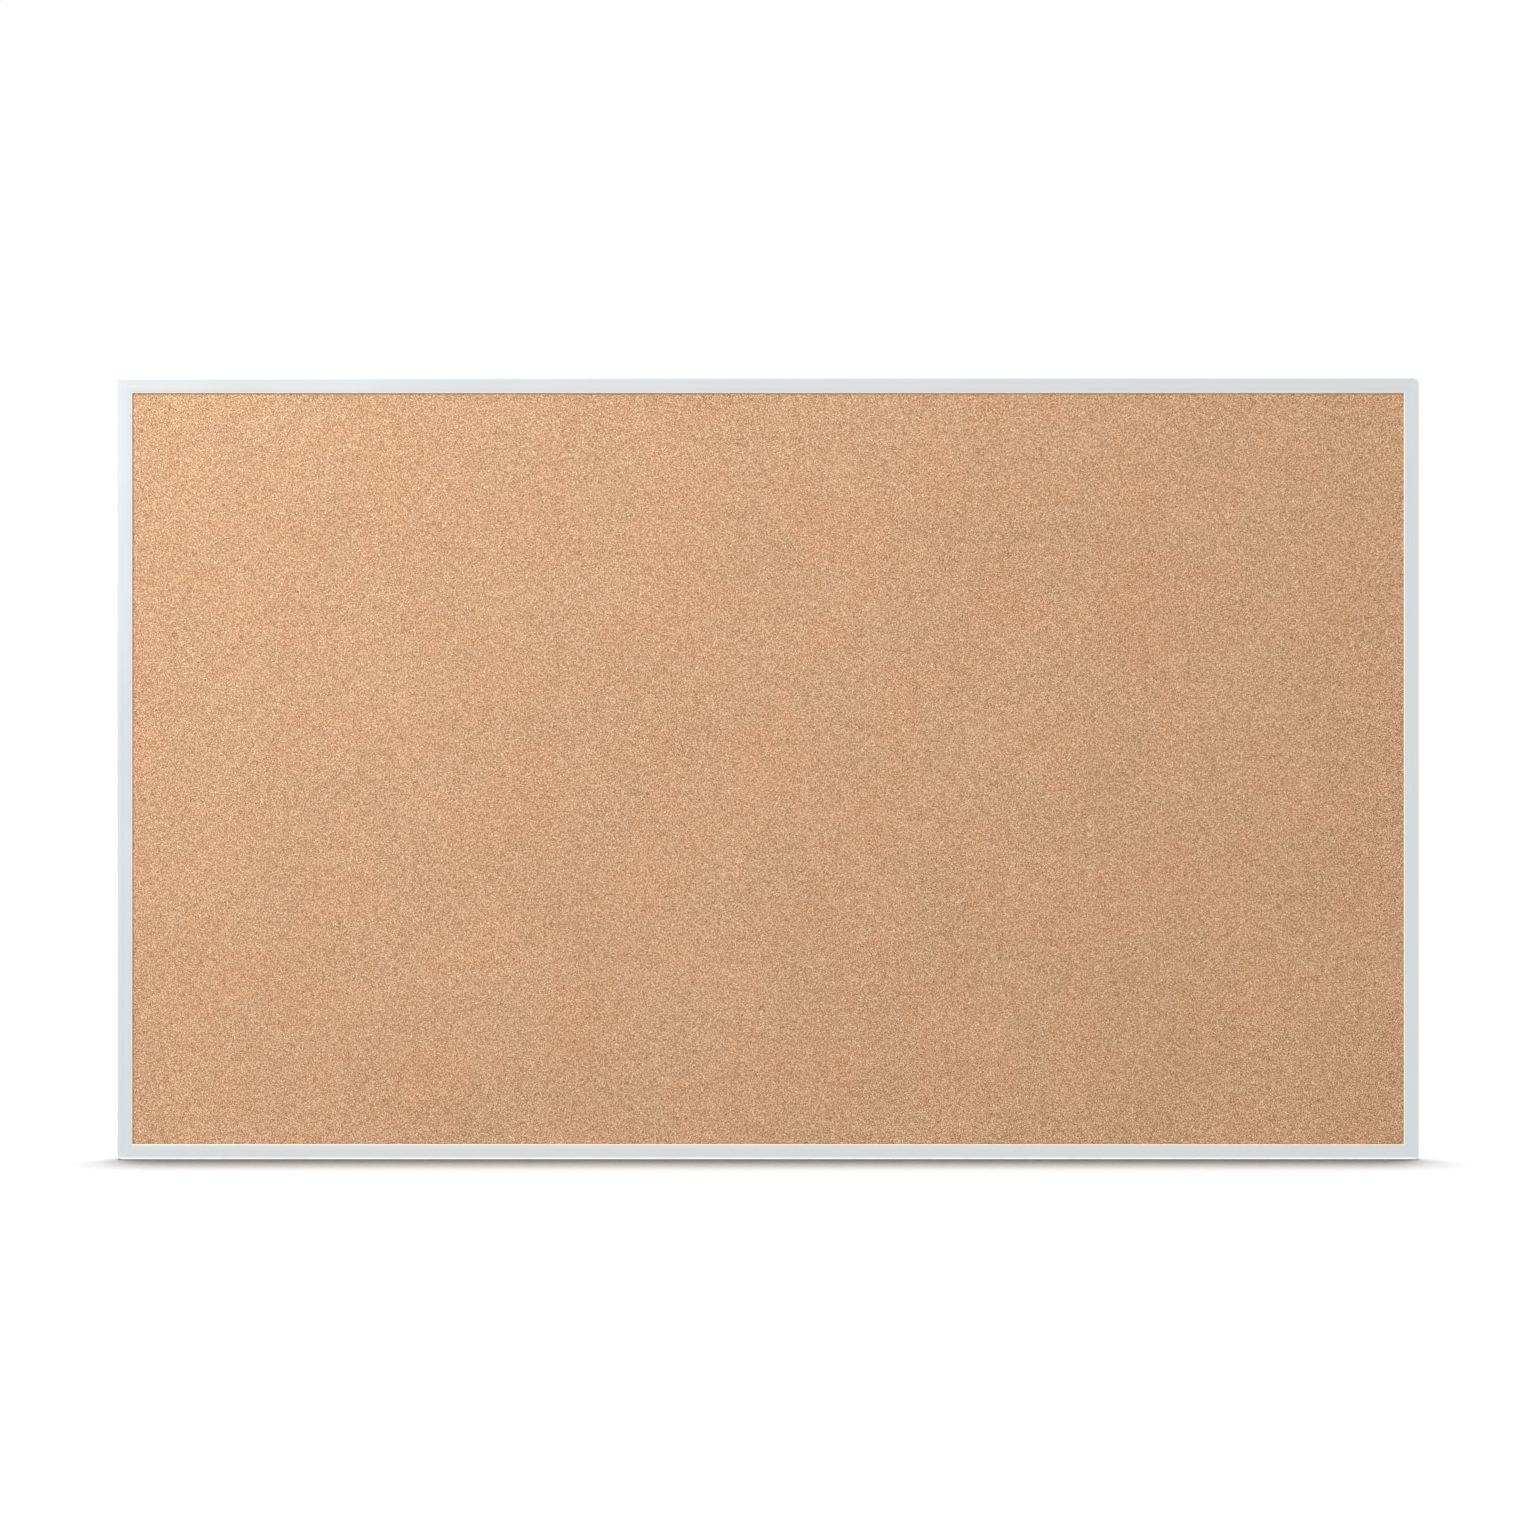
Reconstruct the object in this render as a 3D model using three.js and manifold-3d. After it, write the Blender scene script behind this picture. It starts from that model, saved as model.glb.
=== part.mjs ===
// Cork bulletin board: a cork sheet on a fibreboard core, held in a mitred aluminium frame that hangs
// flat on a wall by two keyhole hangers.
//
// Millimetres. +X runs along the board and +Z is up. The wall is the plane y = 0, so the board lies in
// y < 0 and its cork looks along -Y. The origin is on the wall plane, behind the middle of the board.

import * as THREE from 'three';
import { mergeVertices } from 'three/addons/utils/BufferGeometryUtils.js';
import Module from 'manifold-3d';

// ---- driving dimensions ----

const BOARD_WIDTH = 1524; // 60 in, outside the frame
const BOARD_HEIGHT = 914.4; // 36 in, outside the frame

// The layers of the board, front to back.
const CORK_THICKNESS = 2;
const CORE_THICKNESS = 6.5;
const BACKING_THICKNESS = 0.4;
const GLUE_LINE = 0.25;

// The aluminium profile. "Inset" is measured inwards from the frame's outer edge.
const FACE_WIDTH = 17.5; // what shows around the cork
const FACE_WALL = 1.9;
const FACE_SLOPE_WIDTH = 5.5; // the inner part of the face falls towards the cork
const FACE_SLOPE_DROP = 0.35;
const LIP_RADIUS = 1.2;
const OUTER_WALL = 2.2;
const CHAMBER_WIDTH = 5.8; // the closed chamber that takes the corner keys
const CHAMBER_RIB = 1.2; // between the chamber and the board's edge
const BACK_WALL = 1.5;
const REAR_LIP_REACH = 10;
const REAR_LIP_WALL = 1.2;
const RECESS_DEPTH = 3; // from the rear lip to the wall, room for the hangers

// The frame's outer edges and corners. One corner is left crisp, the others are eased.
const EDGE_RADIUS = 1;
const CORNER_RADIUS = { topLeft: 0, topRight: 6, bottomRight: 4.5, bottomLeft: 5 };

// Clearances.
const LIP_CLEARANCE = 0.2; // front lip to cork
const REAR_CLEARANCE = 0.3; // backing to rear lip
const BOARD_EDGE_CLEARANCE = 0.5;
const MITRE_CLEARANCE = 0.2; // taken off each rail end, along the rail
const KEY_CLEARANCE = 0.3;
const SCREW_CLEARANCE = 0.3;
const HANGER_CLEARANCE = 0.2; // plate to rear lip, and plate to wall plane
const HEAD_CLEARANCE = 0.3; // hanger screw heads to wall plane

// Corner keys and their countersunk screws.
const KEY_LEG = 38;
const KEY_CHAMFER = 1.5;
const KEY_SCREW_INSET = 26; // from the outer corner, along each leg
const KEY_SCREW_LENGTH = 10;
const KEY_SCREW_SHANK_RADIUS = 1.6;
const KEY_SCREW_HEAD_RADIUS = 3;
const KEY_SCREW_HEAD_HEIGHT = 1.4;
const KEY_SCREW_SINK = 0.1; // the head sits this far below the frame's back

// Keyhole hangers and their low pan-head screws.
const HANGER_SPACING = 1219.2; // 48 in
const HANGER_WIDTH = 42;
const HANGER_THICKNESS = 1.2;
const HANGER_EDGE_INSET = 1.2; // flange edge to the chamber rib
const HANGER_STEP_RUN = 2; // length of the joggle between flange and tongue
const HANGER_TONGUE = 30;
const HANGER_CORNER_RADIUS = 4;
const KEYHOLE_HEAD_RADIUS = 4.75;
const KEYHOLE_SLOT_WIDTH = 5;
const KEYHOLE_SLOT_RISE = 9; // from the centre of the round hole to the centre of the slot's end
const KEYHOLE_END_MARGIN = 11; // from the tongue's lower edge to the centre of the round hole
const HANGER_SCREW_SPACING = 26;
const HANGER_SCREW_LENGTH = 7.5;
const HANGER_SCREW_SHANK_RADIUS = 1.5;
const HANGER_SCREW_HEAD_RADIUS = 3.1;

// Cross recess in every screw head.
const RECESS_LENGTH = 3.2;
const RECESS_WIDTH = 0.7;
const RECESS_SINK = 0.9;

const ROUND_SEGMENTS = 20;
const CUT_OVERRUN = 2; // how far a cutting tool runs past what it cuts

// ---- worked-out places ----

// Depths are measured back from the frame's front face.
const CORK_FRONT = FACE_WALL + LIP_CLEARANCE;
const CORE_FRONT = CORK_FRONT + CORK_THICKNESS + GLUE_LINE;
const BACKING_FRONT = CORE_FRONT + CORE_THICKNESS + GLUE_LINE;
const REAR_LIP_FRONT = BACKING_FRONT + BACKING_THICKNESS + REAR_CLEARANCE;
const REAR_LIP_BACK = REAR_LIP_FRONT + REAR_LIP_WALL;
const FRAME_DEPTH = REAR_LIP_BACK + RECESS_DEPTH;

// Insets are measured from the frame's outer edge.
const CHAMBER_OUTER = OUTER_WALL;
const CHAMBER_INNER = OUTER_WALL + CHAMBER_WIDTH;
const SLOT_FLOOR = CHAMBER_INNER + CHAMBER_RIB;
const CHAMBER_MIDDLE = (CHAMBER_OUTER + CHAMBER_INNER) / 2;
const BOARD_INSET = SLOT_FLOOR + BOARD_EDGE_CLEARANCE;
const REAR_LIP_END = SLOT_FLOOR + REAR_LIP_REACH;

// Hanger heights, as insets from the top of the frame.
const FLANGE_TOP = SLOT_FLOOR + HANGER_EDGE_INSET;
const FLANGE_BOTTOM = REAR_LIP_END - HANGER_CLEARANCE;
const FLANGE_MIDDLE = (FLANGE_TOP + FLANGE_BOTTOM) / 2;
const TONGUE_TOP = FLANGE_BOTTOM + HANGER_STEP_RUN;
const TONGUE_BOTTOM = TONGUE_TOP + HANGER_TONGUE;
const KEYHOLE_INSET = TONGUE_BOTTOM - KEYHOLE_END_MARGIN;

// Places along Y, with the wall at 0.
const behindFront = (depth) => depth - FRAME_DEPTH;
const FLANGE_INNER_Y = behindFront(REAR_LIP_BACK) + HANGER_CLEARANCE;
const TONGUE_OUTER_Y = -HANGER_CLEARANCE;

// The hanger screws' heads fill what the plate leaves of the recess.
const HANGER_SCREW_HEAD_HEIGHT = RECESS_DEPTH - HANGER_CLEARANCE - HANGER_THICKNESS - HEAD_CLEARANCE;

// ---- materials ----

const finish = (color, roughness, metalness) => new THREE.MeshStandardMaterial({ color, roughness, metalness });
const FINISH = {
	aluminium: finish(0xdfe2e2, 0.38, 0.9),
	cork: finish(0xd3a87f, 0.85, 0),
	core: finish(0xa98a66, 0.95, 0),
	backing: finish(0xb99b72, 0.9, 0),
	key: finish(0x9a9ea1, 0.5, 0.9),
	steel: finish(0xb4b7b8, 0.35, 1),
};

// ---- solids ----

const wasm = await Module();
wasm.setup();

function toSolid(geometry) {
	const bare = geometry.clone();
	bare.deleteAttribute('normal');
	bare.deleteAttribute('uv');
	const merged = mergeVertices(bare, 1e-4);
	return new wasm.Manifold(new wasm.Mesh({
		numProp: 3,
		vertProperties: new Float32Array(merged.attributes.position.array),
		triVerts: new Uint32Array(merged.index.array),
	}));
}

function toGeometry(solid) {
	const { vertProperties, triVerts } = solid.getMesh();
	const geometry = new THREE.BufferGeometry();
	geometry.setAttribute('position', new THREE.BufferAttribute(vertProperties, 3));
	geometry.setIndex(new THREE.BufferAttribute(triVerts, 1));
	geometry.computeVertexNormals();
	return geometry;
}

function cut(geometry, tools) {
	const solid = tools.reduce((left, tool) => left.subtract(toSolid(tool)), toSolid(geometry));
	return toGeometry(solid);
}

function piece(name, geometry, material) {
	const mesh = new THREE.Mesh(geometry, material);
	mesh.name = name;
	return mesh;
}

// A round bar along Y from one place to another.
function barAlongY(radius, yFrom, yTo, x, z) {
	const bar = new THREE.CylinderGeometry(radius, radius, yTo - yFrom, ROUND_SEGMENTS);
	return bar.translate(x, (yFrom + yTo) / 2, z);
}

// An outline drawn in X and Z, made solid from one Y to another.
function plateAlongY(outline, yFrom, yTo) {
	const plate = new THREE.ExtrudeGeometry(outline, { depth: yTo - yFrom, bevelEnabled: false });
	return plate.rotateX(Math.PI / 2).translate(0, yTo, 0);
}

// ---- frame ----

// The profile's cross-section: x is the inset from the outer edge, y the depth behind the front face.
function railSection() {
	const slopeStart = FACE_WIDTH - FACE_SLOPE_WIDTH;
	const section = new THREE.Shape();
	section.moveTo(0, 0);
	section.lineTo(slopeStart, 0);
	section.lineTo(FACE_WIDTH - LIP_RADIUS, FACE_SLOPE_DROP);
	section.absarc(FACE_WIDTH - LIP_RADIUS, FACE_SLOPE_DROP + LIP_RADIUS, LIP_RADIUS, -Math.PI / 2, 0);
	section.lineTo(FACE_WIDTH, FACE_WALL);
	section.lineTo(SLOT_FLOOR, FACE_WALL);
	section.lineTo(SLOT_FLOOR, REAR_LIP_FRONT);
	section.lineTo(REAR_LIP_END, REAR_LIP_FRONT);
	section.lineTo(REAR_LIP_END, REAR_LIP_BACK);
	section.lineTo(SLOT_FLOOR, REAR_LIP_BACK);
	section.lineTo(SLOT_FLOOR, FRAME_DEPTH);
	section.lineTo(0, FRAME_DEPTH);
	section.closePath();

	const chamber = new THREE.Path();
	chamber.moveTo(CHAMBER_OUTER, FACE_WALL);
	chamber.lineTo(CHAMBER_INNER, FACE_WALL);
	chamber.lineTo(CHAMBER_INNER, FRAME_DEPTH - BACK_WALL);
	chamber.lineTo(CHAMBER_OUTER, FRAME_DEPTH - BACK_WALL);
	chamber.closePath();
	section.holes.push(chamber);
	return section;
}

// A rail lies along X with its outer edge on z = 0 and its mitred ends falling back at 45 degrees.
function mitredRail(length) {
	const rail = new THREE.ExtrudeGeometry(railSection(), { depth: 1, bevelEnabled: false, curveSegments: 5 });
	const { position } = rail.attributes;
	for (let i = 0; i < position.count; i++) {
		const inset = position.getX(i);
		const y = behindFront(position.getY(i));
		const end = 2 * position.getZ(i) - 1;
		position.setXYZ(i, end * (length / 2 - inset - MITRE_CLEARANCE), y, -inset);
	}
	return rail;
}

// The outside of the whole frame, with its corners eased and its front edge rounded all the way round.
function frameEnvelope() {
	const right = BOARD_WIDTH / 2;
	const top = BOARD_HEIGHT / 2;
	const { topLeft, topRight, bottomRight, bottomLeft } = CORNER_RADIUS;
	const corners = [
		{ x: right, z: top, radius: topRight, from: 0 },
		{ x: -right, z: top, radius: topLeft, from: Math.PI / 2 },
		{ x: -right, z: -top, radius: bottomLeft, from: Math.PI },
		{ x: right, z: -top, radius: bottomRight, from: 1.5 * Math.PI },
	];
	const outline = new THREE.Shape();
	for (const { x, z, radius, from } of corners) {
		if (radius > 0) {
			const centreX = x - Math.sign(x) * radius;
			const centreZ = z - Math.sign(z) * radius;
			outline.absarc(centreX, centreZ, radius, from, from + Math.PI / 2);
		} else if (outline.curves.length === 0) {
			outline.moveTo(x, z);
		} else {
			outline.lineTo(x, z);
		}
	}
	outline.closePath();
	const envelope = new THREE.ExtrudeGeometry(outline, {
		depth: FRAME_DEPTH - EDGE_RADIUS + CUT_OVERRUN,
		bevelSize: EDGE_RADIUS,
		bevelThickness: EDGE_RADIUS,
		bevelOffset: -EDGE_RADIUS,
		bevelSegments: 5,
		curveSegments: 7,
	});
	return envelope.rotateX(Math.PI / 2).translate(0, CUT_OVERRUN, 0);
}

// The frame's four sides in turn: each rail is drawn as the top rail and turned about Y.
const SIDES = [
	{ name: 'top_rail', length: BOARD_WIDTH, x: 0, z: BOARD_HEIGHT / 2, turn: 0 },
	{ name: 'right_rail', length: BOARD_HEIGHT, x: BOARD_WIDTH / 2, z: 0, turn: Math.PI / 2 },
	{ name: 'bottom_rail', length: BOARD_WIDTH, x: 0, z: -BOARD_HEIGHT / 2, turn: Math.PI },
	{ name: 'left_rail', length: BOARD_HEIGHT, x: -BOARD_WIDTH / 2, z: 0, turn: -Math.PI / 2 },
];

function makeRail({ name, length, x, z, turn }, hangerHoles) {
	const rail = piece(name, mitredRail(length), FINISH.aluminium);
	rail.position.set(x, 0, z);
	rail.rotation.y = turn;
	rail.updateMatrix();

	const holes = [-1, 1].map((end) => {
		const along = end * (length / 2 - KEY_SCREW_INSET);
		return keyScrewBody(SCREW_CLEARANCE).translate(along, -KEY_SCREW_SINK, -CHAMBER_MIDDLE);
	});
	holes.push(...hangerHoles);

	const envelope = frameEnvelope().applyMatrix4(rail.matrix.clone().invert());
	const eased = toGeometry(toSolid(rail.geometry).intersect(toSolid(envelope)));
	rail.geometry = cut(eased, holes);
	return rail;
}

// ---- screws ----

// A crossed slot for the driver, cut down from y = 0.
function crossRecess() {
	const yMiddle = (CUT_OVERRUN - RECESS_SINK) / 2;
	const height = CUT_OVERRUN + RECESS_SINK;
	const bars = [[RECESS_LENGTH, RECESS_WIDTH], [RECESS_WIDTH, RECESS_LENGTH]];
	return bars.map(([wide, long]) => new THREE.BoxGeometry(wide, height, long).translate(0, yMiddle, 0));
}

// A countersunk screw with the top of its head at y = 0, or with a clearance, the hole that it goes in.
function keyScrewBody(clearance) {
	const head = KEY_SCREW_HEAD_RADIUS + clearance;
	const shank = KEY_SCREW_SHANK_RADIUS + clearance;
	const point = KEY_SCREW_SHANK_RADIUS / 2;
	const top = clearance > 0 ? CUT_OVERRUN : 0;
	const profile = [
		new THREE.Vector2(0, -KEY_SCREW_LENGTH - clearance),
		new THREE.Vector2(shank - point, -KEY_SCREW_LENGTH - clearance),
		new THREE.Vector2(shank, -KEY_SCREW_LENGTH + point),
		new THREE.Vector2(shank, -KEY_SCREW_HEAD_HEIGHT),
		new THREE.Vector2(head, 0),
	];
	if (top > 0) {
		profile.push(new THREE.Vector2(head, top));
	}
	profile.push(new THREE.Vector2(0, top));
	return new THREE.LatheGeometry(profile, ROUND_SEGMENTS);
}

// A pan-head screw with the underside of its head at y = 0.
function hangerScrewBody() {
	const point = HANGER_SCREW_SHANK_RADIUS / 2;
	const crownStart = HANGER_SCREW_HEAD_HEIGHT * 0.55;
	const profile = [
		new THREE.Vector2(0, -HANGER_SCREW_LENGTH),
		new THREE.Vector2(point, -HANGER_SCREW_LENGTH),
		new THREE.Vector2(HANGER_SCREW_SHANK_RADIUS, -HANGER_SCREW_LENGTH + 2 * point),
		new THREE.Vector2(HANGER_SCREW_SHANK_RADIUS, 0),
		new THREE.Vector2(HANGER_SCREW_HEAD_RADIUS, 0),
		new THREE.Vector2(HANGER_SCREW_HEAD_RADIUS, crownStart),
		new THREE.Vector2(HANGER_SCREW_HEAD_RADIUS * 0.85, HANGER_SCREW_HEAD_HEIGHT * 0.88),
		new THREE.Vector2(HANGER_SCREW_HEAD_RADIUS * 0.55, HANGER_SCREW_HEAD_HEIGHT),
		new THREE.Vector2(0, HANGER_SCREW_HEAD_HEIGHT),
	];
	return new THREE.LatheGeometry(profile, ROUND_SEGMENTS);
}

function makeKeyScrew(name) {
	return piece(name, cut(keyScrewBody(0), crossRecess()), FINISH.steel);
}

function makeHangerScrew(name) {
	const recess = crossRecess().map((bar) => bar.translate(0, HANGER_SCREW_HEAD_HEIGHT, 0));
	return piece(name, cut(hangerScrewBody(), recess), FINISH.steel);
}

// ---- corner keys ----

// An angle that fills the two chambers at a corner. The corner is the group's origin, and the legs run
// along -X and -Z. Each leg is held by one screw through the frame's back wall.
function makeCorner(cornerName) {
	const near = CHAMBER_OUTER + KEY_CLEARANCE;
	const far = CHAMBER_INNER - KEY_CLEARANCE;
	const tip = near + KEY_LEG;
	const outline = new THREE.Shape();
	outline.moveTo(-near - KEY_CHAMFER, -near);
	outline.lineTo(-near, -near - KEY_CHAMFER);
	outline.lineTo(-near, -tip + KEY_CHAMFER);
	outline.lineTo(-near - KEY_CHAMFER, -tip);
	outline.lineTo(-far + KEY_CHAMFER, -tip);
	outline.lineTo(-far, -tip + KEY_CHAMFER);
	outline.lineTo(-far, -far);
	outline.lineTo(-tip + KEY_CHAMFER, -far);
	outline.lineTo(-tip, -far + KEY_CHAMFER);
	outline.lineTo(-tip, -near - KEY_CHAMFER);
	outline.lineTo(-tip + KEY_CHAMFER, -near);
	outline.closePath();

	const yFront = behindFront(FACE_WALL) + KEY_CLEARANCE;
	const yBack = -BACK_WALL - KEY_CLEARANCE;
	const places = [
		{ suffix: 'a', x: -KEY_SCREW_INSET, z: -CHAMBER_MIDDLE },
		{ suffix: 'b', x: -CHAMBER_MIDDLE, z: -KEY_SCREW_INSET },
	];
	const holeRadius = KEY_SCREW_SHANK_RADIUS + SCREW_CLEARANCE;
	const holes = places.map(({ x, z }) => {
		return barAlongY(holeRadius, yFront - CUT_OVERRUN, yBack + CUT_OVERRUN, x, z);
	});

	const corner = new THREE.Group();
	const key = plateAlongY(outline, yFront, yBack);
	corner.add(piece(`corner_key_${cornerName}`, cut(key, holes), FINISH.key));
	for (const { suffix, x, z } of places) {
		const screw = makeKeyScrew(`key_screw_${cornerName}_${suffix}`);
		screw.position.set(x, -KEY_SCREW_SINK, z);
		corner.add(screw);
	}
	return corner;
}

const CORNERS = [
	{ name: 'top_right', x: 1, z: 1, turn: 0 },
	{ name: 'bottom_right', x: 1, z: -1, turn: Math.PI / 2 },
	{ name: 'bottom_left', x: -1, z: -1, turn: Math.PI },
	{ name: 'top_left', x: -1, z: 1, turn: -Math.PI / 2 },
];

// ---- hangers ----

// The hanger screws' centres along X, on the hanger and on the whole board.
const HANGER_SCREW_X = [-HANGER_SCREW_SPACING / 2, HANGER_SCREW_SPACING / 2];
const HANGERS = [
	{ name: 'left', x: -HANGER_SPACING / 2 },
	{ name: 'right', x: HANGER_SPACING / 2 },
];

// Holes for all the hanger screws, drawn with the top of the frame on z = 0.
function hangerScrewHoles() {
	const radius = HANGER_SCREW_SHANK_RADIUS + SCREW_CLEARANCE;
	const yHead = FLANGE_INNER_Y + HANGER_THICKNESS;
	const yTip = yHead - HANGER_SCREW_LENGTH - SCREW_CLEARANCE;
	return HANGERS.flatMap(({ x }) => HANGER_SCREW_X.map((offset) => {
		return barAlongY(radius, yTip, yHead + CUT_OVERRUN, x + offset, -FLANGE_MIDDLE);
	}));
}

// The plate's side view: a flange on the rear lip, a joggle, and a tongue flush with the frame's back.
function hangerSideView() {
	const flangeInner = FLANGE_INNER_Y;
	const flangeOuter = FLANGE_INNER_Y + HANGER_THICKNESS;
	const tongueOuter = TONGUE_OUTER_Y;
	const tongueInner = TONGUE_OUTER_Y - HANGER_THICKNESS;
	const side = new THREE.Shape();
	side.moveTo(flangeInner, -FLANGE_TOP);
	side.lineTo(flangeInner, -FLANGE_BOTTOM);
	side.lineTo(tongueInner, -TONGUE_TOP);
	side.lineTo(tongueInner, -TONGUE_BOTTOM);
	side.lineTo(tongueOuter, -TONGUE_BOTTOM);
	side.lineTo(tongueOuter, -TONGUE_TOP);
	side.lineTo(flangeOuter, -FLANGE_BOTTOM);
	side.lineTo(flangeOuter, -FLANGE_TOP);
	side.closePath();
	return side;
}

// The plate's outline in X and Z, with the tongue's lower corners rounded.
function hangerOutline() {
	const half = HANGER_WIDTH / 2;
	const radius = HANGER_CORNER_RADIUS;
	const top = CUT_OVERRUN - FLANGE_TOP;
	const arcHeight = radius - TONGUE_BOTTOM;
	const outline = new THREE.Shape();
	outline.moveTo(half, top);
	outline.lineTo(-half, top);
	outline.absarc(radius - half, arcHeight, radius, Math.PI, 1.5 * Math.PI);
	outline.absarc(half - radius, arcHeight, radius, 1.5 * Math.PI, 2 * Math.PI);
	outline.closePath();
	return outline;
}

// A round hole for a wall screw's head with a narrower slot above it.
function keyholeOutline() {
	const halfSlot = KEYHOLE_SLOT_WIDTH / 2;
	const meet = Math.asin(halfSlot / KEYHOLE_HEAD_RADIUS);
	const slotEnd = KEYHOLE_SLOT_RISE - KEYHOLE_INSET;
	const outline = new THREE.Shape();
	outline.absarc(0, -KEYHOLE_INSET, KEYHOLE_HEAD_RADIUS, Math.PI / 2 - meet, Math.PI / 2 + meet, true);
	outline.absarc(0, slotEnd, halfSlot, Math.PI, 0, true);
	outline.closePath();
	return outline;
}

// The hanger group's origin is level with the top of the frame, on the wall plane.
function makeHanger({ name, x }) {
	const blank = new THREE.ExtrudeGeometry(hangerSideView(), { depth: HANGER_WIDTH, bevelEnabled: false });
	const position = blank.attributes.position;
	for (let i = 0; i < position.count; i++) {
		const along = position.getZ(i) - HANGER_WIDTH / 2;
		position.setXYZ(i, along, position.getX(i), position.getY(i));
	}
	const yFrom = FLANGE_INNER_Y - CUT_OVERRUN;
	const outline = plateAlongY(hangerOutline(), yFrom, CUT_OVERRUN);
	const keyhole = plateAlongY(keyholeOutline(), yFrom, CUT_OVERRUN);
	const holeRadius = HANGER_SCREW_SHANK_RADIUS + SCREW_CLEARANCE;
	const holes = HANGER_SCREW_X.map((offset) => {
		return barAlongY(holeRadius, yFrom, CUT_OVERRUN, offset, -FLANGE_MIDDLE);
	});
	const trimmed = toGeometry(toSolid(blank).intersect(toSolid(outline)));

	const hanger = new THREE.Group();
	hanger.add(piece(`hanger_${name}`, cut(trimmed, [keyhole, ...holes]), FINISH.steel));
	HANGER_SCREW_X.forEach((offset, i) => {
		const screw = makeHangerScrew(`hanger_screw_${name}_${i + 1}`);
		screw.position.set(offset, FLANGE_INNER_Y + HANGER_THICKNESS, -FLANGE_MIDDLE);
		hanger.add(screw);
	});
	hanger.position.set(x, 0, BOARD_HEIGHT / 2);
	return hanger;
}

// ---- board ----

// A flat layer that fills the frame's slot, from one depth behind the frame's front to another.
function makeLayer(name, depthFront, thickness, material, holes) {
	const width = BOARD_WIDTH - 2 * BOARD_INSET;
	const height = BOARD_HEIGHT - 2 * BOARD_INSET;
	const slab = new THREE.BoxGeometry(width, thickness, height);
	const y = behindFront(depthFront + thickness / 2);
	const local = holes.map((hole) => hole.translate(0, -y, BOARD_HEIGHT / 2));
	const layer = piece(name, local.length > 0 ? cut(slab, local) : slab, material);
	layer.position.y = y;
	return layer;
}

// ---- assembly ----

const board = new THREE.Group();
board.add(makeLayer('cork_sheet', CORK_FRONT, CORK_THICKNESS, FINISH.cork, []));
board.add(makeLayer('core_board', CORE_FRONT, CORE_THICKNESS, FINISH.core, hangerScrewHoles()));
board.add(makeLayer('backing_sheet', BACKING_FRONT, BACKING_THICKNESS, FINISH.backing, hangerScrewHoles()));

for (const side of SIDES) {
	board.add(makeRail(side, side.name === 'top_rail' ? hangerScrewHoles() : []));
}

for (const { name, x, z, turn } of CORNERS) {
	const corner = makeCorner(name);
	corner.position.set(x * BOARD_WIDTH / 2, 0, z * BOARD_HEIGHT / 2);
	corner.rotation.y = turn;
	board.add(corner);
}

for (const hanger of HANGERS) {
	board.add(makeHanger(hanger));
}

export default board;
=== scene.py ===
"""Cork bulletin board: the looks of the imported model, with its floor, lights and camera.

Metres, in the model's frame: +X runs along the board, +Z is up, the wall plane is y = 0 and the cork looks
along -Y. Lengths in the materials are real lengths.
"""
import math

import bmesh
import bpy
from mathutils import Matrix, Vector


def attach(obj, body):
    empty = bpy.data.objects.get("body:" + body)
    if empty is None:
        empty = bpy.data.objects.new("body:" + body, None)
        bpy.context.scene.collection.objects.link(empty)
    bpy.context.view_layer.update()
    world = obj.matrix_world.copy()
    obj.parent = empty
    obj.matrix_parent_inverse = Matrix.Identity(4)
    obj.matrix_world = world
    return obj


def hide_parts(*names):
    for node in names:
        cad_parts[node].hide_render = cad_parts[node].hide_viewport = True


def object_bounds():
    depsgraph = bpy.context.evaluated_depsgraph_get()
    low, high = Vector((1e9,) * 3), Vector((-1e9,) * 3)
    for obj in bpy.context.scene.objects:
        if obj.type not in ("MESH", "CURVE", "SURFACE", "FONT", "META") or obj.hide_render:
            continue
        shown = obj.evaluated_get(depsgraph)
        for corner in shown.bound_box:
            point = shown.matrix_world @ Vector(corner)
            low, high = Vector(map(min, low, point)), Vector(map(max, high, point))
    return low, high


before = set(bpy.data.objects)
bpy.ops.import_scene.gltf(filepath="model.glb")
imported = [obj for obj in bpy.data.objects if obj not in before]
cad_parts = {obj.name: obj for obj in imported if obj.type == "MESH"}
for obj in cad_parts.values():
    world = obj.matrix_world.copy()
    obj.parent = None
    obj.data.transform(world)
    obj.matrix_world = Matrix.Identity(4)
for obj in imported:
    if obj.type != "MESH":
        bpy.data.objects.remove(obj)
cad_box = [list(corner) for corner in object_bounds()]

MM = 0.001
X, Y, Z = 0, 1, 2
BOARD_HALF = {X: cad_box[1][X], Z: cad_box[1][Z]}
BOARD_FRONT = cad_box[0][Y]
BOARD_FOOT = cad_box[0][Z]
FACE_WIDTH = 17.5 * MM


def srgb(red, green, blue):
    """A display colour of 0 to 255 a channel as a linear colour."""
    def linear(value):
        share = value / 255
        return share / 12.92 if share <= 0.04045 else ((share + 0.055) / 1.055) ** 2.4
    return (linear(red), linear(green), linear(blue), 1.0)


# ---- camera ----

# The picture spans this width at the board's front, and the camera is this far off the board's middle. The
# lens and the sensor are in millimetres.
PHOTO_WIDTH_AT_BOARD = 1.7988
CAMERA_X = -0.23 * MM
CAMERA_Z = 0.94 * MM
LENS = 100.0
SENSOR = 36.0

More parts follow.
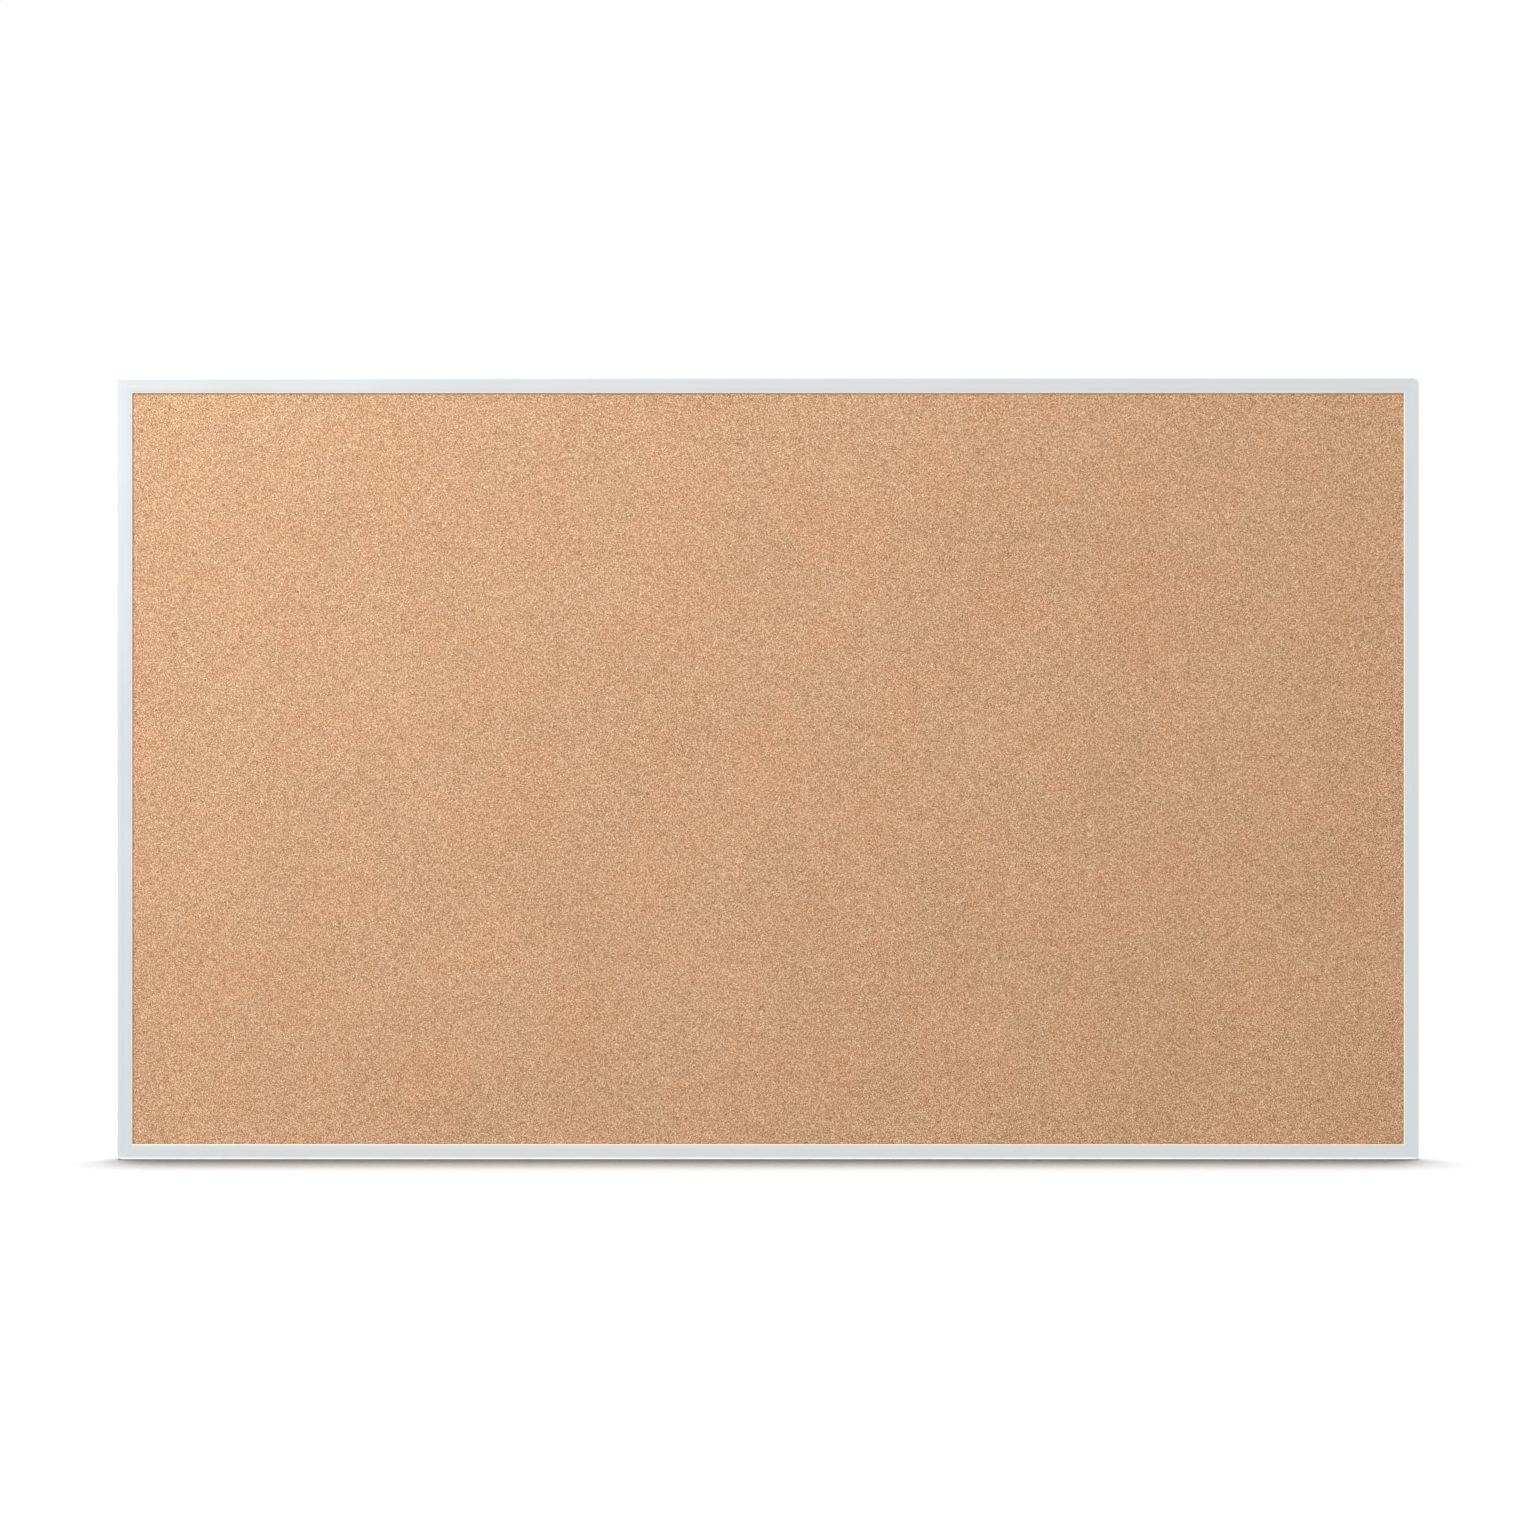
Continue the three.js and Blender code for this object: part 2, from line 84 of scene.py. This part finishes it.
camera_data = bpy.data.cameras.new("camera")
camera_data.lens = LENS
camera_data.sensor_width = SENSOR
camera_data.clip_start = 0.1
camera_data.clip_end = 60
camera = bpy.data.objects.new("camera", camera_data)
camera.location = (CAMERA_X, BOARD_FRONT - PHOTO_WIDTH_AT_BOARD * LENS / SENSOR, CAMERA_Z)
camera.rotation_euler = (math.radians(90), 0, 0)
bpy.context.scene.collection.objects.link(camera)
bpy.context.scene.camera = camera
bpy.context.scene.view_settings.view_transform = "Standard"
bpy.context.scene.view_settings.look = "None"


# ---- node helpers ----

class Graph:
    """A material's node tree, with short calls for the nodes used here."""

    def __init__(self, name):
        self.material = bpy.data.materials.new(name)
        self.material.use_nodes = True
        self.tree = self.material.node_tree
        self.tree.nodes.clear()
        self.shader = self.tree.nodes.new("ShaderNodeBsdfPrincipled")
        output = self.tree.nodes.new("ShaderNodeOutputMaterial")
        self.link(self.shader.outputs[0], output.inputs["Surface"])
        self.place = self.tree.nodes.new("ShaderNodeTexCoord").outputs["Object"]

    def link(self, source, target):
        self.tree.links.new(source, target)

    def feed(self, value, target):
        """Link a socket, or set a plain value."""
        if isinstance(value, bpy.types.NodeSocket):
            self.link(value, target)
        else:
            target.default_value = value

    def math(self, operation, a, b=0.0):
        node = self.tree.nodes.new("ShaderNodeMath")
        node.operation = operation
        for value, socket in zip((a, b), node.inputs):
            self.feed(value, socket)
        return node.outputs[0]

    def product(self, *factors):
        result = factors[0]
        for factor in factors[1:]:
            result = self.math("MULTIPLY", result, factor)
        return result

    def mean(self, a, b):
        return self.math("ADD", self.math("MULTIPLY", a, 0.5), self.math("MULTIPLY", b, 0.5))

    def stretch(self, scale, offset=(0, 0, 0)):
        node = self.tree.nodes.new("ShaderNodeMapping")
        node.inputs["Scale"].default_value = scale
        node.inputs["Location"].default_value = offset
        self.link(self.place, node.inputs["Vector"])
        return node.outputs[0]

    def noise(self, size, detail=2.0, roughness=0.5, vector=None, distortion=0.0, output="Fac"):
        """Smooth noise of about that size in metres, from 0 to 1."""
        node = self.tree.nodes.new("ShaderNodeTexNoise")
        self.link(vector or self.place, node.inputs["Vector"])
        node.inputs["Scale"].default_value = 1 / size
        node.inputs["Detail"].default_value = detail
        node.inputs["Roughness"].default_value = roughness
        node.inputs["Distortion"].default_value = distortion
        return node.outputs[output]

    def streaks(self, repeats, detail=2.0, roughness=0.5, offset=(0, 0, 0), distortion=0.0):
        """Noise with its own number of repeats a metre along X, Y and Z."""
        return self.noise(1.0, detail, roughness, self.stretch(repeats, offset), distortion)

    def pushed(self, size, reach):
        """Places pushed aside by up to that reach, by noise of about that size, both in metres."""
        node = self.tree.nodes.new("ShaderNodeVectorMath")
        node.operation = "MULTIPLY_ADD"
        self.link(self.noise(size, detail=1.0, output="Color"), node.inputs[0])
        node.inputs[1].default_value = (reach,) * 3
        self.link(self.place, node.inputs[2])
        return node.outputs[0]

    def cells(self, size, feature="F1", output="Distance", vector=None):
        """Voronoi cells of about that size in metres."""
        node = self.tree.nodes.new("ShaderNodeTexVoronoi")
        node.feature = feature
        self.link(vector or self.place, node.inputs["Vector"])
        node.inputs["Scale"].default_value = 1 / size
        return node.outputs[output]

    def ramp(self, value, low, high, to_low=0.0, to_high=1.0, smooth=False):
        """The value's range from low to high, spread over the range from to_low to to_high."""
        node = self.tree.nodes.new("ShaderNodeMapRange")
        node.interpolation_type = "SMOOTHSTEP" if smooth else "LINEAR"
        self.link(value, node.inputs["Value"])
        for name, number in (("From Min", low), ("From Max", high), ("To Min", to_low), ("To Max", to_high)):
            node.inputs[name].default_value = number
        return node.outputs["Result"]

    def colours(self, value, stops):
        """A colour ramp through (place, colour) stops."""
        node = self.tree.nodes.new("ShaderNodeValToRGB")
        ramp = node.color_ramp
        while len(ramp.elements) > 1:
            ramp.elements.remove(ramp.elements[-1])
        ramp.elements[0].position, ramp.elements[0].color = stops[0]
        for place, colour in stops[1:]:
            ramp.elements.new(place).color = colour
        self.link(value, node.inputs["Fac"])
        return node.outputs["Color"]

    def mix(self, share, a, b, blend="MIX"):
        """Colour a with that share of colour b laid on it."""
        node = self.tree.nodes.new("ShaderNodeMix")
        node.data_type = "RGBA"
        node.blend_type = blend
        self.feed(share, node.inputs[0])
        self.feed(a, node.inputs[6])
        self.feed(b, node.inputs[7])
        return node.outputs[2]

    def bump(self, height, distance, strength=1.0, normal=None):
        node = self.tree.nodes.new("ShaderNodeBump")
        node.inputs["Strength"].default_value = strength
        node.inputs["Distance"].default_value = distance
        self.link(height, node.inputs["Height"])
        if normal is not None:
            self.link(normal, node.inputs["Normal"])
        return node.outputs["Normal"]

    def separate(self, vector):
        node = self.tree.nodes.new("ShaderNodeSeparateXYZ")
        self.link(vector, node.inputs[0])
        return node.outputs

    def set(self, **values):
        names = {"colour": "Base Color", "roughness": "Roughness", "metallic": "Metallic", "normal": "Normal",
                 "specular": "Specular IOR Level"}
        for key, value in values.items():
            self.feed(value, self.shader.inputs[names[key]])
        return self.material


# ---- aluminium ----

# Repeats a metre along the rail, and across it.
FINE_LINES = (0.9, 1400.0)
WIDE_LINES = (0.4, 260.0)

# The painted highlight along the board's lower edge is at full strength up to the first height above the
# foot, and gone at the second.
LOWER_HIGHLIGHT_FULL = 1.7 * MM
LOWER_HIGHLIGHT_GONE = 2.3 * MM

# The finishing strokes run along the mitre, on both sides of it, with their highlight painted in as a pale
# colour. Here a distance from the mitre is the difference of a point's two insets, and a distance from the
# corner is their sum. A stroke's middle is at each odd multiple of the half pitch, and the strokes are gone
# at the first limit and full at the second.
STROKE_HALF_PITCH = 0.9 * MM
STROKE_EDGE = (0.62 * MM, 0.85 * MM)
STROKES_ACROSS = (5.4 * MM, 5.0 * MM)
STROKES_ALONG = (22 * MM, 13 * MM)
STROKE_DEPTH = 2.2 * MM  # they reach this far behind the board's front
# how strongly the strokes' painted highlight lightens the face
STROKE_HIGHLIGHT_SHARE = 0.4


def rail_lines(g, lengthwise, repeats, **settings):
    """Noise drawn out along a rail that runs along "X" or "Z"."""
    along, across = repeats
    scale = (along, across, across) if lengthwise == "X" else (across, across, along)
    return g.streaks(scale, **settings)


def painted_lower_edge_highlight(g, z, inset_z):
    """The share of painted highlight on the board's lower edge, stronger in some places along it than in
    others.
    """
    patches = g.ramp(g.noise(25 * MM, detail=4.0), 0.3, 0.6, 0.75, 1.0)
    return g.product(g.ramp(inset_z, LOWER_HIGHLIGHT_GONE, LOWER_HIGHLIGHT_FULL), g.math("LESS_THAN", z, 0.0), patches)


def mitre_marks_and_highlight(g, x, y, z, inset_x, inset_z):
    """The share of short strokes on the face, at the two corners where x and z have the same sign: finishing
    marks along the mitre, with their highlight painted in as a pale colour.
    """
    off_mitre = g.math("ABSOLUTE", g.math("SUBTRACT", inset_x, inset_z))
    from_corner = g.math("ADD", inset_x, inset_z)
    return g.product(
        g.ramp(g.math("PINGPONG", off_mitre, STROKE_HALF_PITCH), *STROKE_EDGE),
        g.ramp(off_mitre, *STROKES_ACROSS),
        g.ramp(from_corner, *STROKES_ALONG),
        g.math("GREATER_THAN", g.math("MULTIPLY", x, z), 0.0),
        g.math("LESS_THAN", y, BOARD_FRONT + STROKE_DEPTH),
    )


def aluminium_material(name, lengthwise):
    """Satin anodised aluminium with the fine lines of its extrusion along the rail's length ("X" or "Z").

    The board's lower edge carries a painted highlight, and two corners carry short finishing strokes along
    the mitre with their highlight painted in as a pale colour.
    """
    g = Graph(name)
    lines = rail_lines(g, lengthwise, FINE_LINES, detail=3.0, roughness=0.65)
    wide_lines = rail_lines(g, lengthwise, WIDE_LINES, detail=1.0, offset=(3.1, 1.7, 5.3))
    frost = g.noise(0.35 * MM, detail=1.0)
    clouds = g.noise(140 * MM, detail=3.0)
    x, y, z = g.separate(g.place)
    inset_x = g.math("SUBTRACT", BOARD_HALF[X], g.math("ABSOLUTE", x))
    inset_z = g.math("SUBTRACT", BOARD_HALF[Z], g.math("ABSOLUTE", z))

    colour = g.colours(g.mean(lines, wide_lines), [
        (0.3, srgb(209, 211.5, 211.5)),
        (0.7, srgb(213, 215.5, 215.5)),
    ])
    colour = g.mix(g.ramp(clouds, 0.35, 0.7, 0.0, 0.3), colour, srgb(209, 212, 213))
    # Painted highlight: the lower edge is lightened to near white where light would catch it.
    colour = g.mix(painted_lower_edge_highlight(g, z, inset_z), colour, srgb(252, 253, 252))
    # Painted highlight: pale streaks along the mitre at two corners, standing in for the glint on the
    # finishing marks.
    stroke_marks_and_highlight = mitre_marks_and_highlight(g, x, y, z, inset_x, inset_z)
    colour = g.mix(g.math("MULTIPLY", stroke_marks_and_highlight, STROKE_HIGHLIGHT_SHARE), colour, srgb(240, 242, 242))

    roughness = g.math("ADD", g.ramp(lines, 0.2, 0.8, 0.33, 0.39), g.ramp(clouds, 0.3, 0.7, -0.02, 0.02))
    normal = g.bump(lines, 0.004 * MM, 0.5)
    normal = g.bump(frost, 0.006 * MM, 0.5, normal)
    return g.set(colour=colour, roughness=roughness, metallic=1.0, normal=normal)


def lip_material():
    """The frame's rounded inner edge beside the cork: matt, with a pale cream colour that is a painted
    highlight and a painted warm reflection of the cork, faintly mottled.
    """
    g = Graph("frame_lip")
    lip_mottle = g.noise(6 * MM, detail=4.0, roughness=0.7)
    # Painted highlight and painted reflection: the cream stands in for the edge's glint and the cork's warm
    # light in it.
    colour = g.colours(lip_mottle, [(0.3, srgb(198, 186, 172)), (0.7, srgb(208, 198, 186))])
    return g.set(colour=colour, roughness=0.5, metallic=0.0, specular=0.4,
                 normal=g.bump(lip_mottle, 0.02 * MM, 0.5))


# ---- cork ----

GRANULE = 0.72 * MM
GRAIN_SPREAD = 168  # display steps for a whole unit of tone
CHIP = 1.5 * MM
WARP_SIZE = 0.8 * MM
WARP_REACH = 0.45 * MM
MOTTLE = 170 * MM
MOTTLE_REACH = 0.018  # lightens and darkens the tone by up to this
BLUSH = 110 * MM
BLUSH_SHARE = 0.038

# The cork's colours are written as they look at the middle of the lit board, so its sheen is taken off them
# and the rest is divided by its light.
CORK_SHEEN = 0.045
CORK_LIGHT = 1.565
CORK_MIDDLE = (210, 166, 125)
STEP_SHARES = (1.0, 1.06, 1.10)  # how much of a step each channel takes
DARKEST = 0.02


def cork_tone(step, tint=(0, 0, 0)):
    """The cork's middle colour, lighter or darker by about the same display step in every channel."""
    channels = zip(CORK_MIDDLE, STEP_SHARES, tint)
    seen = srgb(*(middle + step * share + extra for middle, share, extra in channels))
    return tuple(max(DARKEST, value - CORK_SHEEN) / CORK_LIGHT for value in seen[:3]) + (1.0,)


def cork_material():
    """Fine agglomerated cork: granules under 1 mm, each of its own tone, bark specks and slight mottling."""
    g = Graph("cork")
    warped = g.pushed(WARP_SIZE, WARP_REACH)
    granule = g.separate(g.cells(GRANULE, output="Color", vector=warped))
    edge = g.cells(GRANULE, feature="DISTANCE_TO_EDGE", vector=warped)
    chip = g.separate(g.cells(CHIP, output="Color", vector=warped))
    fine = g.noise(0.35 * MM, detail=2.0)
    mottle = g.noise(MOTTLE, detail=5.0, roughness=0.55)

    tone = g.math("MULTIPLY", g.math("ADD", granule[0], granule[1]), 0.5)
    tone = g.math("ADD", tone, g.ramp(fine, 0.2, 0.8, -0.10, 0.10))
    tone = g.math("ADD", tone, g.ramp(mottle, 0.3, 0.7, -MOTTLE_REACH, MOTTLE_REACH))
    steps = [(place / 10, cork_tone((place / 10 - 0.5) * GRAIN_SPREAD)) for place in range(1, 10)]
    colour = g.colours(tone, steps)

    # Some patches are slightly warmer and others cooler.
    blush = g.noise(BLUSH, detail=5.0, roughness=0.65, vector=g.stretch((1, 1, 1), (5, 2, 9)))
    colour = g.mix(g.ramp(blush, 0.46, 0.66, 0.0, BLUSH_SHARE), colour, srgb(255, 105, 60), "OVERLAY")
    colour = g.mix(g.ramp(blush, 0.54, 0.34, 0.0, BLUSH_SHARE), colour, srgb(90, 150, 190), "OVERLAY")

    # Dark seams between granules, a few dark bark specks and a few pale chips.
    colour = g.mix(g.ramp(edge, 0.0, 0.10, 0.45, 0.0), colour, cork_tone(-42, (0, 2, -2)))
    colour = g.mix(g.ramp(chip[2], 0.978, 0.985, 0.0, 0.55), colour, cork_tone(-78, (0, 9, 0)))
    colour = g.mix(g.ramp(chip[1], 0.975, 0.99, 0.0, 0.5), colour, cork_tone(34, (0, 2, 4)))

    dome = g.ramp(edge, 0.0, 0.30, smooth=True)
    normal = g.bump(dome, 0.08 * MM, 0.6)
    normal = g.bump(granule[0], 0.07 * MM, 0.5, normal)
    normal = g.bump(fine, 0.05 * MM, 0.5, normal)
    return g.set(colour=colour, roughness=g.ramp(fine, 0.2, 0.8, 0.58, 0.68), metallic=0.0, normal=normal,
                 specular=0.5)


# ---- fibreboard, paper, zinc and cast metal ----

def board_material():
    """Soft brown fibreboard with short matted fibres."""
    g = Graph("fibreboard")
    fibres = g.noise(0.9 * MM, detail=4.0, roughness=0.7, distortion=2.5)
    clouds = g.noise(30 * MM, detail=3.0)
    colour = g.colours(fibres, [
        (0.3, srgb(136, 108, 78)),
        (0.6, srgb(168, 138, 104)),
        (0.8, srgb(190, 162, 128)),
    ])
    colour = g.mix(g.ramp(clouds, 0.4, 0.65, 0.0, 0.3), colour, srgb(148, 120, 88))
    return g.set(colour=colour, roughness=0.95, normal=g.bump(fibres, 0.2 * MM, 0.6), specular=0.2)


def kraft_material():
    """Kraft paperboard: fine fibres mostly along the board, small flecks, slight cockling."""
    g = Graph("kraft")
    along = g.streaks((320, 1100, 1700), detail=4.0, roughness=0.7, distortion=0.6)
    pulp = g.noise(1.3 * MM, detail=5.0, roughness=0.7)
    fibre = g.streaks((70, 900, 1900), offset=(4, 1, 7), distortion=1.5)
    flecks = g.separate(g.cells(1.1 * MM, output="Color"))
    clouds = g.noise(150 * MM, detail=5.0)
    cockling = g.noise(70 * MM, detail=2.0)
    colour = g.colours(g.mean(along, pulp), [
        (0.30, srgb(158, 132, 104)),
        (0.45, srgb(174, 148, 118)),
        (0.58, srgb(184, 158, 128)),
        (0.75, srgb(198, 174, 144)),
    ])
    colour = g.mix(g.ramp(fibre, 0.64, 0.74, 0.0, 0.45), colour, srgb(206, 184, 156))
    colour = g.mix(g.ramp(fibre, 0.36, 0.26, 0.0, 0.35), colour, srgb(138, 112, 86))
    colour = g.mix(g.ramp(flecks[0], 0.985, 0.995, 0.0, 0.5), colour, srgb(104, 80, 60))
    colour = g.mix(g.ramp(clouds, 0.4, 0.7, 0.0, 0.2), colour, srgb(164, 138, 108))
    normal = g.bump(cockling, 1.0 * MM, 0.35)
    normal = g.bump(along, 0.04 * MM, 0.6, normal)
    return g.set(colour=colour, roughness=g.ramp(pulp, 0.3, 0.7, 0.74, 0.88), normal=normal, specular=0.3)


def zinc_material():
    """Bright zinc plating: faint blue and straw patches, fine rolling lines, handling scuffs."""
    g = Graph("zinc_steel")
    patches = g.noise(7 * MM, detail=3.0)
    lines = g.streaks((2500, 900, 140), detail=3.0)
    scuffs = g.streaks((420, 420, 2600), detail=2.0, roughness=0.8, offset=(2, 3, 1))
    colour = g.colours(patches, [
        (0.3, srgb(186, 192, 200)),
        (0.5, srgb(200, 203, 205)),
        (0.72, srgb(208, 203, 190)),
    ])
    colour = g.mix(g.ramp(scuffs, 0.62, 0.75, 0.0, 0.4), colour, srgb(168, 172, 176))
    return g.set(colour=colour, roughness=g.ramp(lines, 0.3, 0.7, 0.28, 0.44), metallic=1.0,
                 normal=g.bump(lines, 0.01 * MM, 0.6))


def cast_material():
    """Matt die-cast metal."""
    g = Graph("key_metal")
    grain = g.noise(0.5 * MM, detail=3.0)
    colour = g.colours(grain, [(0.3, srgb(146, 149, 152)), (0.7, srgb(172, 175, 177))])
    return g.set(colour=colour, roughness=0.55, metallic=1.0, normal=g.bump(grain, 0.05 * MM, 0.5))


# ---- the model's pieces take their materials ----

materials = {
    "rail_x": aluminium_material("frame_aluminium_x", "X"),
    "rail_z": aluminium_material("frame_aluminium_z", "Z"),
    "lip": lip_material(),
    "cork": cork_material(),
    "core": board_material(),
    "backing": kraft_material(),
    "zinc": zinc_material(),
    "key": cast_material(),
}
BY_NAME = (
    ("top_rail", "rail_x"), ("bottom_rail", "rail_x"), ("left_rail", "rail_z"), ("right_rail", "rail_z"),
    ("cork_sheet", "cork"), ("core_board", "core"), ("backing_sheet", "backing"),
    ("corner_key", "key"), ("key_screw", "zinc"), ("hanger", "zinc"),
)
for node_name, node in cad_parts.items():
    chosen = next(material for start, material in BY_NAME if node_name.startswith(start))
    for material_slot in node.material_slots:
        material_slot.material = materials[chosen]


# ---- rails with closed mitres ----

# The model leaves a clearance at every mitre, where real rails are drawn tight, so each rail shown is a copy
# whose ends run on until the joint is a hairline.
MITRE_CLEARANCE = 0.2 * MM
HAIRLINE = 0.02 * MM
END_TOLERANCE = 0.01 * MM
WELD_DISTANCE = 0.002 * MM
SHARP_ANGLE = math.radians(35)

# The lip is the rounded inner edge of the face. Its faces' middles lie within this width of the opening and
# this far behind the board's front.
LIP_WIDTH = 1.15 * MM
LIP_DEPTH = 1.85 * MM


def run_ends_on(mesh, along, across):
    """Lengthen a rail's mesh at both mitred ends."""
    for vertex in mesh.vertices:
        inset = BOARD_HALF[across] - abs(vertex.co[across])
        end = BOARD_HALF[along] - inset - MITRE_CLEARANCE
        if abs(abs(vertex.co[along]) - end) < END_TOLERANCE:
            vertex.co[along] += math.copysign(MITRE_CLEARANCE - HAIRLINE, vertex.co[along])


def weld(mesh):
    """Join the vertices that lie on each other, so that shading runs on smoothly over the rounded edges."""
    work = bmesh.new()
    work.from_mesh(mesh)
    bmesh.ops.remove_doubles(work, verts=work.verts, dist=WELD_DISTANCE)
    work.to_mesh(mesh)
    work.free()


def dress_rail(mesh, along, across):
    """Give a rail's mesh its aluminium and its lip material, shaded smoothly between sharp edges."""
    mesh.materials.clear()
    mesh.materials.append(materials["rail_x" if along == X else "rail_z"])
    mesh.materials.append(materials["lip"])
    for polygon in mesh.polygons:
        polygon.use_smooth = True
        inset = BOARD_HALF[across] - abs(polygon.center[across])
        on_lip = inset > FACE_WIDTH - LIP_WIDTH and polygon.center[Y] < BOARD_FRONT + LIP_DEPTH
        polygon.material_index = 1 if on_lip else 0
    mesh.set_sharp_from_angle(angle=SHARP_ANGLE)


def close_mitres(name, along):
    """Show a copy of a rail with closed mitres in place of the model's rail."""
    across = Z if along == X else X
    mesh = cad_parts[name].data.copy()
    mesh.name = name + "_shown"
    run_ends_on(mesh, along, across)
    weld(mesh)
    dress_rail(mesh, along, across)
    rail = bpy.data.objects.new(name + "_shown", mesh)
    bpy.context.scene.collection.objects.link(rail)
    weighted = rail.modifiers.new("even_shading", "WEIGHTED_NORMAL")
    weighted.keep_sharp = True
    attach(rail, "root")
    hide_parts(name)


for rail_name, rail_axis in (("top_rail", X), ("bottom_rail", X), ("left_rail", Z), ("right_rail", Z)):
    close_mitres(rail_name, rail_axis)


# ---- floor, world and lights ----

FLOOR_HALF = 14.0
STUDIO_STRENGTH = 1.02


def make_floor():
    """A plain floor at the board's foot, of a mid grey that its own light makes pale."""
    g = Graph("floor")
    g.set(colour=g.mix(g.noise(400 * MM, detail=2.0), srgb(117, 117, 117), srgb(120, 120, 120)),
          roughness=0.85, specular=0.1)
    signs = ((-1, -1), (1, -1), (1, 1), (-1, 1))
    corners = [(x * FLOOR_HALF, y * FLOOR_HALF, BOARD_FOOT) for x, y in signs]
    mesh = bpy.data.meshes.new("floor")
    mesh.from_pydata(corners, [], [(0, 1, 2, 3)])
    mesh.materials.append(g.material)
    floor = bpy.data.objects.new("floor", mesh)
    bpy.context.scene.collection.objects.link(floor)
    # The board is lit and mirrored as if it stood alone in the white studio.
    floor.visible_diffuse = False
    floor.visible_glossy = False
    return floor


floor = make_floor()
world = bpy.data.worlds.new("studio")
world.use_nodes = True
background = world.node_tree.nodes["Background"]
background.inputs["Color"].default_value = (1, 1, 1, 1)
background.inputs["Strength"].default_value = STUDIO_STRENGTH
bpy.context.scene.world = world


def add_light(name, kind, location, **settings):
    """A light that faces the model's origin and can't be seen by the camera."""
    data = bpy.data.lights.new(name, kind)
    for key, value in settings.items():
        setattr(data, key, value)
    light = bpy.data.objects.new(name, data)
    light.location = location
    light.rotation_euler = (-Vector(location)).to_track_quat("-Z", "Y").to_euler()
    light.visible_camera = False
    bpy.context.scene.collection.objects.link(light)
    return light


def receivers(name, link_state):
    """What a light reaches: only the floor with "INCLUDE", or all but the floor with "EXCLUDE"."""
    group = bpy.data.collections.new(name)
    group.objects.link(floor)
    group.collection_objects[0].light_linking.link_state = link_state
    return group


# The board's light stands in front of it, to the upper left.
KEY_PLACE = (-2.5, -2.0, 2.55)
key = add_light("key", "AREA", KEY_PLACE, shape="SQUARE", size=1.0, energy=200, color=(1.0, 1.02, 1.06))
key.light_linking.receiver_collection = receivers("all_but_floor", "EXCLUDE")

# The floor has a light of its own, almost overhead and 10 degrees across. It makes the floor pale without
# glare on the cork, and the board's shadow fades out just in front of it.
BEHIND_OVERHEAD = math.radians(5)
floor_light = add_light("floor_light", "SUN", (0, math.sin(BEHIND_OVERHEAD), math.cos(BEHIND_OVERHEAD)),
                        energy=14.6, angle=math.radians(10))
floor_light.light_linking.receiver_collection = receivers("only_floor", "INCLUDE")
